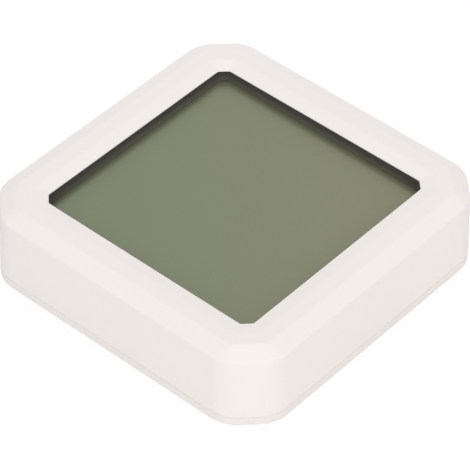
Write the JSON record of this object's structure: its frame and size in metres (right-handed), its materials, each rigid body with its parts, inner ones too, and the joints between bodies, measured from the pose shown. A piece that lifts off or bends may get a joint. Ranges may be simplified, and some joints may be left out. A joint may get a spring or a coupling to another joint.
{
  "type": "temperature humidity sensor",
  "caption": "Square white sensor unit with a crowned frame round a blank reflective display, a lift-off front on a flat rear cover, a coin cell inside and a recessed pairing button.",
  "frame": {"origin": "middle of the flat back face, on the surface that the unit lies on or is stuck to", "axes": "+Z out of the display, +Y towards the side with the vent slots, +X to the right of someone who looks at the display"},
  "size_m": [0.043, 0.043, 0.0104],
  "materials": {
    "white_abs": "fine satin mould finish, warm white",
    "button_abs": "satin",
    "black_foam": "closed cell foam, matte",
    "polariser_film": "anti-glare film, green-grey",
    "display_glass": "polished",
    "reflector_film": "diffuse metallised film",
    "tray_plastic": "satin",
    "contact_rubber": "matte silicone with fine carbon layers",
    "board_laminate": "solder mask, satin",
    "screw_steel": "zinc plated",
    "contact_steel": "nickel plated spring steel",
    "cell_steel": "drawn stainless can",
    "crystal_can": "seam welded lid",
    "chip_resin": "moulded resin",
    "antenna_ceramic": "fired ceramic",
    "capacitor_ceramic": "fired ceramic",
    "black_nylon": "moulded",
    "switch_white": "moulded"
  },
  "bodies": {
    "base": {"rear_cover": "white_abs", "cell_pad": "black_foam"},
    "front_unit": {"front_shell": "white_abs", "display_gasket": "black_foam", "lcd_polariser": "polariser_film", "lcd_front_glass": "display_glass", "lcd_rear_glass": "display_glass", "lcd_reflector": "reflector_film", "lcd_frame": "tray_plastic", "zebra_strips": "contact_rubber", "circuit_board": "board_laminate", "board_screws": "screw_steel", "radio_chip": "chip_resin", "display_driver": "chip_resin", "clock_crystal": "crystal_can", "chip_antenna": "antenna_ceramic", "climate_sensor": "chip_resin", "board_capacitors": "capacitor_ceramic", "board_resistors": "chip_resin", "switch_body": "black_nylon", "cell_holder": "black_nylon", "cell_positive_clips": "contact_steel", "cell_negative_contact": "contact_steel"},
    "cell": {"coin_cell": "cell_steel"},
    "button": {"pairing_button": "button_abs"},
    "plunger": {"switch_plunger": "switch_white"}
  },
  "joints": [
    {"name": "front_lift", "type": "slide", "parent": "base", "child": "front_unit", "axis": [0, 0, 1], "range_m": [0, 0.03]},
    {"name": "cell_out", "type": "slide", "parent": "front_unit", "child": "cell", "axis": [0, 0, -1], "range_m": [0, 0.012]},
    {"name": "button_press", "type": "slide", "parent": "base", "child": "button", "axis": [0, 0, 1], "range_m": [0, 0.0003], "stiffness_N_per_m": 1500},
    {"name": "plunger_press", "type": "slide", "parent": "front_unit", "child": "plunger", "axis": [0, 0, 1], "range_m": [0, 0.000256]}
  ],
  "couplings": [
    {"joint": "cell_out", "follows": "front_lift", "ratio": 0.4},
    {"joint": "plunger_press", "follows": "button_press", "ratio": 0.85}
  ]
}
